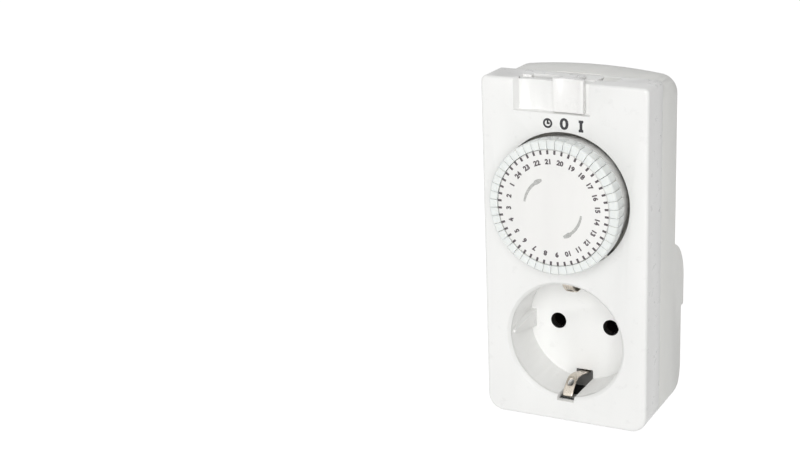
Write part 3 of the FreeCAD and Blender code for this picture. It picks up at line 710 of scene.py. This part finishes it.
def lettering(name, words, size, weight, place, turn, thickness, material, body, stretch=1.0):
    """Text that lies on a front face: centred at place, turned about Y and made bolder by weight."""
    curve = bpy.data.curves.new(name + "_text", "FONT")
    curve.body = words
    curve.size = size
    curve.align_x = "CENTER"
    curve.align_y = "CENTER"
    curve.extrude = thickness / 2
    curve.offset = weight
    curve.resolution_u = 3
    holder = link_object(name + "_text", curve)
    bpy.context.view_layer.update()
    mesh = bpy.data.meshes.new_from_object(holder.evaluated_get(bpy.context.evaluated_depsgraph_get()))
    bpy.data.objects.remove(holder)
    mesh.name = name
    mesh.materials.clear()
    mesh.materials.append(material)
    upright = Matrix.Rotation(math.radians(90), 4, "X")
    stand = Matrix.Translation(place - Vector((0, thickness / 2, 0))) @ Matrix.Rotation(turn, 4, "Y")
    mesh.transform(stand @ upright @ Matrix.Diagonal((stretch, 1, 1, 1)))
    piece = link_object(name, mesh)
    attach(piece, body)
    return piece


def shallow_recess(look):
    """Brings the floor of the selector's recess forward and slopes its left wall outwards."""
    floor_depth = 0.0042
    floor_band = (0.0040, 0.0055)

    def reshape(shape):
        knob_low = span("selector_knob")[0]
        left, right = look.recess_left, look.recess_right
        new_depth = floor_depth - look.recess_lift
        for vert in shape.verts:
            point = vert.co
            if point.z < knob_low.z - 0.0006 or not left - 0.0001 < point.x < right + 0.0001:
                continue
            depth = point.y - FRONT_Y
            if floor_band[0] < depth < floor_band[1]:
                point.y -= look.recess_lift
                depth -= look.recess_lift
            if abs(point.x - left) < 0.00005 and depth < new_depth:
                point.x -= look.recess_slope * (1 - depth / new_depth)

    return reshape


def rim_slots(look, near_y, far_y, flange):
    """Boxes of the upper and the lower earth slot, from the bore out through the rim."""
    half = look.slot_width / 2
    inner, outer = flange - 0.0045, flange - 0.0021
    return [
        (Vector((-half, near_y, z0)), Vector((half, far_y, z1)))
        for z0, z1 in ((inner, outer), (-outer, -inner))
    ]


class TIMER_OT_housing(bpy.types.Operator):
    """Front cover and rear shell with soft moulded edges"""

    bl_idname = "timer.housing"
    bl_label = "Housing"

    def execute(self, context):
        look = context.scene.timer_housing
        cover = moulded_plastic("cover plastic", look.white, gloss=0.3)
        shell = moulded_plastic("shell plastic", look.shell_white, gloss=0.42, grain=0.000008)
        # Near black plastic for the walls inside the housing: painted shade where little light gets in, not
        # a darker plastic.
        inner = moulded_plastic("painted shade inner wall", (0.05, 0.05, 0.05), gloss=0.6)
        low, high, _ = span("front_cover")
        seam_y = high.y

        side_wall = 0.0022
        bottom_wall = 0.0019
        front_wall = 0.00205
        lower_slot = rim_slots(look, FRONT_Y - 0.001, seam_y + 0.001, span("socket_insert")[1].x)[1]

        def in_walls(point):
            in_width = abs(point.x) < high.x - side_wall
            return in_width and low.z + bottom_wall < point.z < look.unlit_height

        front = softened(
            "front_cover",
            "cover",
            cover,
            look.edge,
            reshape=shallow_recess(look),
            slots=[lower_slot],
        )
        # Painted shade on the cover's inner walls behind its front wall.
        shade_inside(
            front, inner, lambda point: in_walls(point) and point.y > FRONT_Y + front_wall
        )
        back = softened("rear_shell", "shell", shell, look.edge)
        # Painted shade on the shell's inner walls in the room behind the seam.
        room_front, room_back = seam_y + 0.0004, seam_y + 0.0118
        shade_inside(
            back, inner, lambda point: in_walls(point) and room_front < point.y < room_back
        )
        screw = rolled_metal("screw steel", (0.55, 0.55, 0.55), "Y")
        softened("housing_screws", "back_screws", screw, 0.00012)
        return {"FINISHED"}


class TIMER_OT_dial(bpy.types.Operator):
    """Program dial with its printed day scale and turning arrows"""

    bl_idname = "timer.dial"
    bl_label = "Program dial"

    def execute(self, context):
        look = context.scene.timer_dial
        white = moulded_plastic("dial plastic", (0.86, 0.855, 0.835), gloss=0.36)
        ink = printed_ink("scale ink", (0.06, 0.05, 0.055))
        grey_ink = printed_ink("arrow ink", (0.33, 0.33, 0.32))
        softened("program_dial", "dial", white, 0.00012, reshape=sunk_face(look))
        drawn("dial_ticks", ink, tick_marks(look), "dial")
        for hour in range(1, HOURS + 1):
            angle = look.first_hour_angle + math.radians(15) * (hour - 1)
            lettering(
                f"dial_hour_{hour:02d}",
                str(hour),
                look.numeral_height * 1.36,
                look.numeral_height * 0.07,
                on_dial(look.numeral_radius, angle, DIAL_FACE_Y + look.face_sink),
                math.pi / 2 - angle,
                look.ink_thickness,
                ink,
                "dial",
            )
        for name, tail, head in (("left", 172, 112), ("right", -8, -68)):
            drawn(
                f"dial_arrow_{name}",
                grey_ink,
                arrow_mark(look, math.radians(tail), math.radians(head)),
                "dial",
            )
        return {"FINISHED"}


class TIMER_OT_tappets(bpy.types.Operator):
    """The forty eight tappets round the dial"""

    bl_idname = "timer.tappets"
    bl_label = "Tappets"

    def execute(self, context):
        look = context.scene.timer_dial
        pale = moulded_plastic(
            "tappet acetal", (0.84, 0.865, 0.845), gloss=0.32, mottle=0.95, subsurface=0.25
        )
        for node in TAPPET_NODES:
            softened(node, "pair_" + node[8:], pale, 0.0001, reshape=close_heads(look))
        return {"FINISHED"}


class TIMER_OT_selector(bpy.types.Operator):
    """Selector knob and the printed marks below its recess"""

    bl_idname = "timer.selector"
    bl_label = "Selector"

    def execute(self, context):
        white = moulded_plastic("knob plastic", (0.87, 0.865, 0.85), gloss=0.28)
        softened("selector_knob", "knob", white, 0.00025, reshape=raised_knob)
        ink = printed_ink("mark ink", (0.022, 0.022, 0.025))
        row_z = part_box("selector_cam")[0].z - 0.0033
        marks = context.scene.timer_marks
        lettering(
            "mark_off",
            "0",
            0.0050,
            0.00016,
            Vector((marks.off_x, FRONT_Y, row_z)),
            0.0,
            marks.ink_thickness,
            ink,
            "housing",
            stretch=1.18,
        )
        drawn("mark_on", ink, serif_bar(marks, row_z), "housing")
        drawn("mark_clock", ink, clock_face(marks, row_z), "housing")
        return {"FINISHED"}


def pointed_ribs(tip_y):
    """Runs the front ends of the two guide ribs out to a point at the rim."""
    rib_edge = (0.0013, 0.0017)
    tip_half = 0.0005
    tip_reach = 0.0192

    def reshape(shape):
        for vert in shape.verts:
            point = vert.co
            at_tip = abs(point.y - tip_y) < 0.00005 and abs(point.x) > 0.017
            if at_tip and rib_edge[0] < abs(point.z) < rib_edge[1]:
                point.z = math.copysign(tip_half, point.z)
                point.x = math.copysign(max(abs(point.x), tip_reach), point.x)

    return reshape


def clip_strip(side, floor_y):
    """Spring strip of the earth contact: a bow towards the axis with a window, and a curled end."""

    def sketch(shape):
        path = (
            (-0.0040, 0.0180),
            (-0.0012, 0.0176),
            (0.0010, 0.0172),
            (0.0050, 0.0160),
            (0.0090, 0.0152),
            (0.0112, 0.0156),
            (0.0134, 0.0172),
            (0.0150, 0.0190),
            (0.0154, 0.0202),
        )
        half = 0.0018
        window = 0.0011
        row = [
            shape.verts.new((x, floor_y - path[0][0], side * path[0][1]))
            for x in (-half, -window, window, half)
        ]
        edges = [shape.edges.new(pair) for pair in zip(row, row[1:])]
        last = path[0]
        for point in path[1:]:
            grown = bmesh.ops.extrude_edge_only(shape, edges=edges)["geom"]
            ends = [item for item in grown if isinstance(item, bmesh.types.BMVert)]
            edges = [item for item in grown if isinstance(item, bmesh.types.BMEdge)]
            edges = [edge for edge in edges if all(vert in ends for vert in edge.verts)]
            bmesh.ops.translate(
                shape, verts=ends, vec=(0, last[0] - point[0], side * (point[1] - last[1]))
            )
            last = point
        opening = Vector((0, floor_y - 0.0123, side * 0.0164))
        pane = min(shape.faces, key=lambda face: (face.calc_center_median() - opening).length)
        bmesh.ops.delete(shape, geom=[pane], context="FACES")
        bmesh.ops.recalc_face_normals(shape, faces=shape.faces)

    return sketch


class TIMER_OT_socket(bpy.types.Operator):
    """Socket cup with its earth clips"""

    bl_idname = "timer.socket"
    bl_label = "Socket"

    def execute(self, context):
        look = context.scene.timer_housing
        white = moulded_plastic("socket plastic", look.white, gloss=0.3)
        brass = rolled_metal("clip bronze", (0.66, 0.60, 0.52), "Y", gloss=0.26, tarnish=0.78)
        # Near black plastic for the cup's outer walls, slot walls and the pin holes behind its floor:
        # painted shade, as the socket is dark inside.
        painted_shade_cup = moulded_plastic("painted shade cup wall", (0.012, 0.012, 0.012), gloss=0.7)
        low, high, _ = span("socket_insert")
        cup = softened(
            "socket_insert",
            "socket",
            white,
            look.edge,
            reshape=pointed_ribs(low.y + 0.001),
            slots=rim_slots(look, low.y - 0.001, low.y + 0.004, high.x),
        )
        floor_y = high.y - 0.0023
        bore = high.x - 0.0035

        # Mask for the painted shade: faces outside the bore and behind the cup floor.
        def is_behind(point):
            beyond = math.hypot(point.x, point.z) > bore + 0.00035 and point.y > low.y + 0.0004
            return beyond or point.y > floor_y + 0.0001

        shade_inside(cup, painted_shade_cup, is_behind)
        for name, side in (("upper", 1), ("lower", -1)):
            clip = drawn(f"clip_{name}", brass, clip_strip(side, floor_y), "housing")
            wall = clip.modifiers.new("strip thickness", "SOLIDIFY")
            wall.thickness = 0.0006
            wall.offset = 0.0
            bend = clip.modifiers.new("soft bends", "SUBSURF")
            bend.levels = 2
            bend.render_levels = 2
            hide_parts(f"earth_clip_{name}")
        dress("earth_bridge", brass)
        return {"FINISHED"}


class TIMER_OT_plug(bpy.types.Operator):
    """Plated plug pins and earth strips behind"""

    bl_idname = "timer.plug"
    bl_label = "Plug"

    def execute(self, context):
        nickel = rolled_metal("nickel plate", (0.72, 0.70, 0.66), "Y", gloss=0.2, tarnish=0.9)
        for node in ("plug_pin_left", "plug_pin_right", "plug_earth_strip_upper", "plug_earth_strip_lower"):
            softened(node, "plated_" + node[5:], nickel, 0.0002)
        return {"FINISHED"}


class TIMER_OT_movement(bpy.types.Operator):
    """Finishes of the inner works"""

    bl_idname = "timer.movement"
    bl_label = "Inner works"

    def execute(self, context):
        acetal = moulded_plastic("natural acetal", (0.74, 0.72, 0.66), gloss=0.4, subsurface=0.1)
        phenolic = moulded_plastic("black phenolic", (0.03, 0.03, 0.032), gloss=0.45, mottle=0.8)
        brass = rolled_metal("contact brass", (0.66, 0.52, 0.28), "Z")
        # Near black metal on the contact sleeves: painted shade for the dark chambers behind the pin holes,
        # not tarnish on the sleeves.
        painted_shade_sleeve = rolled_metal("painted shade contact", (0.035, 0.03, 0.026), "Y", gloss=0.5)
        steel = rolled_metal("bright steel", (0.58, 0.58, 0.58), "X")
        can = rolled_metal("drawn can", (0.6, 0.6, 0.6), "Y", gloss=0.34)
        groups = {
            acetal: [
                "movement_plate",
                "motor_pinion",
                "reduction_gear",
                "dial_gear",
                "feeler_lever",
                "microswitch_plunger",
                "selector_cam",
            ],
            phenolic: ["microswitch_body"],
            painted_shade_sleeve: ["contact_sleeve_left", "contact_sleeve_right"],
            brass: [
                "live_busbar",
                "switched_busbar",
                "neutral_busbar",
                "selector_contact",
                "selector_terminals",
            ],
            steel: [
                "movement_screws",
                "motor_screws",
                "reduction_axle",
                "dial_retaining_ring",
                "lever_pin",
                "detent_spring",
            ],
            can: ["synchronous_motor"],
        }
        for material, nodes in groups.items():
            for node in nodes:
                dress(node, material)
        return {"FINISHED"}


def soft_lamp(name, place, aim, size, power):
    data = bpy.data.lights.new(name, "AREA")
    data.shape = "DISK"
    data.size = size
    data.energy = power
    lamp = link_object(name, data)
    lamp.location = place
    lamp.rotation_euler = (aim - place).to_track_quat("-Z", "Y").to_euler()


def white_to_camera(tree, seen, unseen):
    """Mixes two closures: what camera, mirror and glass rays meet, and what lights the scene."""
    path = tree.nodes.new("ShaderNodeLightPath")
    either = tree.nodes.new("ShaderNodeMath")
    either.operation = "MAXIMUM"
    tree.links.new(path.outputs["Is Camera Ray"], either.inputs[0])
    tree.links.new(path.outputs["Is Transmission Ray"], either.inputs[1])
    every = tree.nodes.new("ShaderNodeMath")
    every.operation = "MAXIMUM"
    tree.links.new(either.outputs[0], every.inputs[0])
    tree.links.new(path.outputs["Is Glossy Ray"], every.inputs[1])
    mix = tree.nodes.new("ShaderNodeMixShader")
    tree.links.new(every.outputs[0], mix.inputs[0])
    tree.links.new(unseen, mix.inputs[1])
    tree.links.new(seen, mix.inputs[2])
    return mix.outputs[0]


class TIMER_OT_stage(bpy.types.Operator):
    """Camera, lamps, white surroundings and floor"""

    bl_idname = "timer.stage"
    bl_label = "Stage"

    def execute(self, context):
        look = context.scene.timer_stage
        scene = context.scene
        scene.view_settings.view_transform = "Standard"
        aim = Vector((0.0, -0.0253, 0.0315))
        back = Vector(
            (
                math.sin(look.azimuth) * math.cos(look.elevation),
                -math.cos(look.azimuth) * math.cos(look.elevation),
                math.sin(look.elevation),
            )
        )
        data = bpy.data.cameras.new("camera")
        data.sensor_width = 36.0
        data.lens = 68.76
        data.shift_x = -0.2225
        data.shift_y = 0.015
        camera = link_object("camera", data)
        camera.location = aim + back * look.distance
        turn = (-back).to_track_quat("-Z", "Y") @ Matrix.Rotation(look.roll, 4, "Z").to_quaternion()
        camera.rotation_euler = turn.to_euler()
        scene.camera = camera

        middle = Vector((0.0, -0.02, 0.03))
        soft_lamp("key", Vector((0.62, -2.7, 0.75)), middle, 2.4, 57.0)
        soft_lamp("top", Vector((0.0, -0.9, 2.2)), middle, 1.6, 3.0)

        world = bpy.data.worlds.new("studio")
        scene.world = world
        world.use_nodes = True
        tree = world.node_tree
        tree.nodes.clear()
        white = tree.nodes.new("ShaderNodeBackground")
        white.inputs["Strength"].default_value = 1.0
        glow = tree.nodes.new("ShaderNodeBackground")
        glow.inputs["Color"].default_value = (1.0, 1.0, 1.0, 1.0)
        glow.inputs["Strength"].default_value = 0.42
        white.inputs["Color"].default_value = (1.0, 1.0, 1.0, 1.0)
        output = tree.nodes.new("ShaderNodeOutputWorld")
        tree.links.new(white_to_camera(tree, white.outputs[0], glow.outputs[0]), output.inputs[0])

        shape = bmesh.new()
        bmesh.ops.create_grid(shape, x_segments=8, y_segments=8, size=3.0)
        mesh = bpy.data.meshes.new("floor")
        low = cad_box[0].z - look.floor_drop
        bmesh.ops.translate(shape, verts=shape.verts, vec=(0, 0, low))
        shape.to_mesh(mesh)
        shape.free()
        floor = link_object("floor", mesh)
        paint = Paint("pale floor")
        grain = paint.noise(paint.place(), 40.0, 4.0)
        paper = paint.node(
            "ShaderNodeBsdfDiffuse",
            {},
            {"Color": paint.mix(grain, (0.8, 0.8, 0.8, 1), (0.83, 0.83, 0.83, 1))},
        )
        lift = paint.node("ShaderNodeEmission", {}, {"Strength": 0.62})
        bright = paint.node("ShaderNodeAddShader", {}, {0: paper, 1: lift})
        surface = white_to_camera(paint.tree, bright.socket, paper.socket)
        paint.node("ShaderNodeOutputMaterial", {}, {"Surface": Signal(paint, surface)})
        mesh.materials.append(paint.material)
        return {"FINISHED"}


class TIMER_PT_panel(bpy.types.Panel):
    """Lists the pieces of the timer switch"""

    bl_idname = "TIMER_PT_panel"
    bl_label = "Timer switch"
    bl_space_type = "VIEW_3D"
    bl_region_type = "UI"
    bl_category = "Timer"

    def draw(self, context):
        for step in STEPS:
            self.layout.operator(step.bl_idname)
        for key in GROUPS:
            group = getattr(context.scene, key)
            for name in group.__annotations__:
                self.layout.prop(group, name)


STEPS = (
    TIMER_OT_stage,
    TIMER_OT_housing,
    TIMER_OT_dial,
    TIMER_OT_tappets,
    TIMER_OT_selector,
    TIMER_OT_socket,
    TIMER_OT_plug,
    TIMER_OT_movement,
)
GROUPS = {
    "timer_housing": HousingLook,
    "timer_dial": DialLook,
    "timer_marks": MarksLook,
    "timer_stage": StageLook,
}


def register():
    for group in GROUPS.values():
        bpy.utils.register_class(group)
    for name, group in GROUPS.items():
        setattr(bpy.types.Scene, name, bpy.props.PointerProperty(type=group))
    for step in STEPS:
        bpy.utils.register_class(step)
    bpy.utils.register_class(TIMER_PT_panel)


def unregister():
    bpy.utils.unregister_class(TIMER_PT_panel)
    for step in reversed(STEPS):
        bpy.utils.unregister_class(step)
    for name in GROUPS:
        delattr(bpy.types.Scene, name)
    for group in reversed(list(GROUPS.values())):
        bpy.utils.unregister_class(group)


def main():
    register()
    bpy.ops.timer.stage()
    bpy.ops.timer.housing()
    bpy.ops.timer.dial()
    bpy.ops.timer.tappets()
    bpy.ops.timer.selector()
    bpy.ops.timer.socket()
    bpy.ops.timer.plug()
    bpy.ops.timer.movement()


if __name__ == "__main__":
    main()
